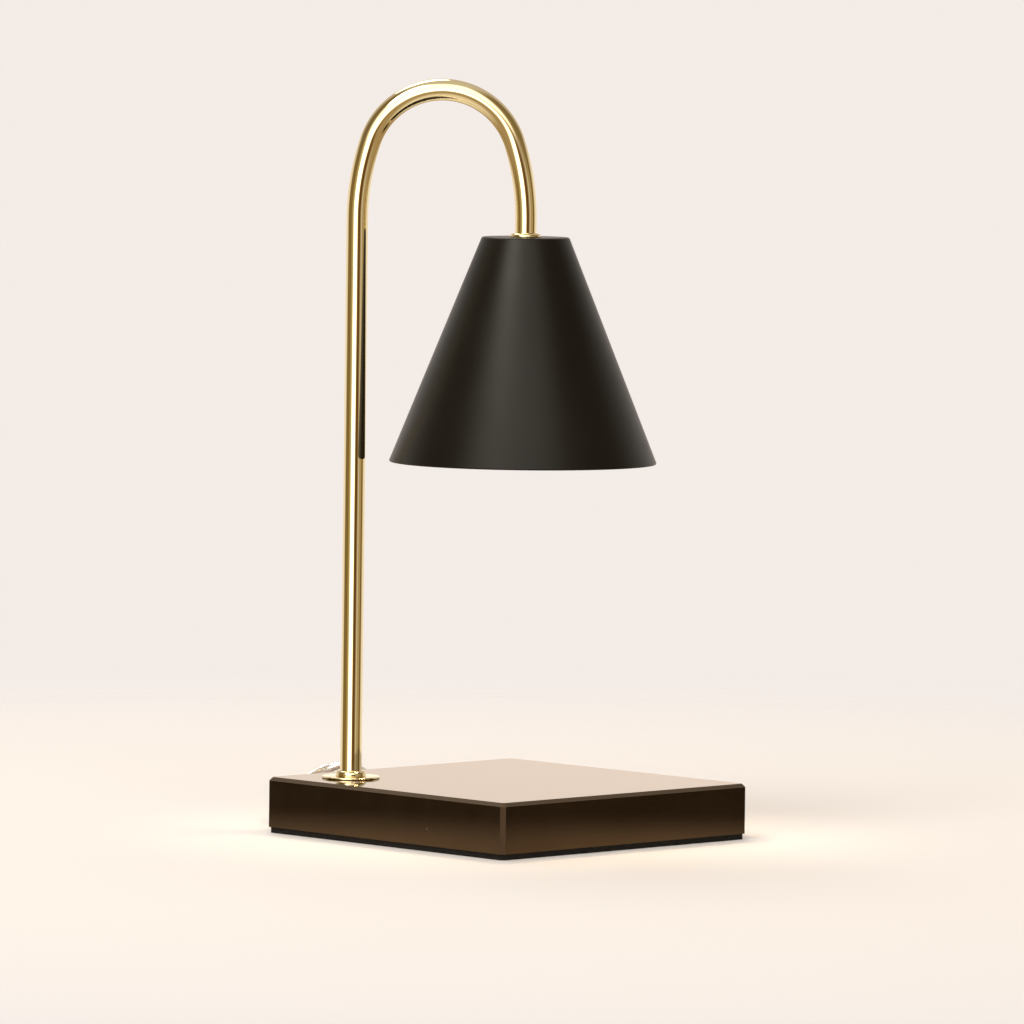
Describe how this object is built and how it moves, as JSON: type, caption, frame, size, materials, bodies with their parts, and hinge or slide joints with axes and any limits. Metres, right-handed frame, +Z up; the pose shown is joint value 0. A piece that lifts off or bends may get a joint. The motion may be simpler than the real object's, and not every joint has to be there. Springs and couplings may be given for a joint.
{
  "type": "candle warmer lamp",
  "caption": "Candle warmer lamp: square stone base set corner-on, brass gooseneck tube, black cone shade with a twist-lock reflector lamp, and a clear cord with inline dimmer and plug.",
  "frame": {"origin": "centre of the base's underside, on the surface it stands on", "axes": "+Z up; +X along the base's diagonal, from the tube's corner to the opposite corner; +Y to the back, where the cord leaves"},
  "size_m": [0.2103, 0.2754, 0.3329],
  "materials": {
    "stone": "polished, near black",
    "pad_rubber": "matt foam",
    "polished_brass": "polished",
    "zinc_steel": "zinc plated",
    "clear_vinyl": "clear, slightly milky",
    "lead_black": "satin",
    "lead_white": "satin",
    "shade_black": "satin black",
    "holder_ceramic": "fine matt",
    "contact_brass": "bright",
    "reflector_mirror": "bright facets",
    "lens_glass": "clear",
    "lit_glass": "frosted, lit",
    "dimmer_plastic": "satin white",
    "wheel_plastic": "satin",
    "pot_plastic": "satin",
    "board_plastic": "satin"
  },
  "bodies": {
    "lamp": {"stone_base": "stone", "foot_pad": "pad_rubber", "base_flange": "polished_brass", "pole_collar": "polished_brass", "base_washer": "zinc_steel", "lock_nuts": "zinc_steel", "cord_strain_relief": "clear_vinyl", "gooseneck_tube": "polished_brass", "live_lead": "lead_black", "neutral_lead": "lead_white", "shade_ferrule": "polished_brass", "shade": "shade_black", "holder_bracket": "zinc_steel", "lampholder_body": "holder_ceramic", "lampholder_contacts": "contact_brass", "holder_screws": "zinc_steel", "dimmer_lower_shell": "dimmer_plastic", "dimmer_upper_shell": "dimmer_plastic", "dimmer_pot": "pot_plastic", "dimmer_board": "board_plastic", "dimmer_screws": "zinc_steel", "dimmer_sleeves": "clear_vinyl", "dimmer_leads": "lead_white", "lamp_cord": "clear_vinyl", "mains_cord": "clear_vinyl", "cord_coil": "clear_vinyl", "plug_cord": "clear_vinyl", "plug_body": "clear_vinyl", "plug_blade_wide": "contact_brass", "plug_blade_narrow": "contact_brass"},
    "bulb": {"bulb_base": "holder_ceramic", "bulb_pins": "contact_brass", "bulb_reflector": "reflector_mirror", "bulb_capsule": "lit_glass", "bulb_lens": "lens_glass"},
    "dimmer_wheel": {"dimmer_wheel": "wheel_plastic", "dimmer_shaft": "wheel_plastic"}
  },
  "joints": [
    {"name": "bulb_twist", "type": "hinge", "parent": "lamp", "child": "bulb", "pos_m": [0.005, 0, 0.231], "axis": [0, 0, 1], "range_deg": [-30, 0]},
    {"name": "dimmer_wheel_turn", "type": "hinge", "parent": "lamp", "child": "dimmer_wheel", "pos_m": [0.04082, 0.08532, 0.0074], "axis": [0, 0, 1], "range_deg": [0, 270]}
  ]
}
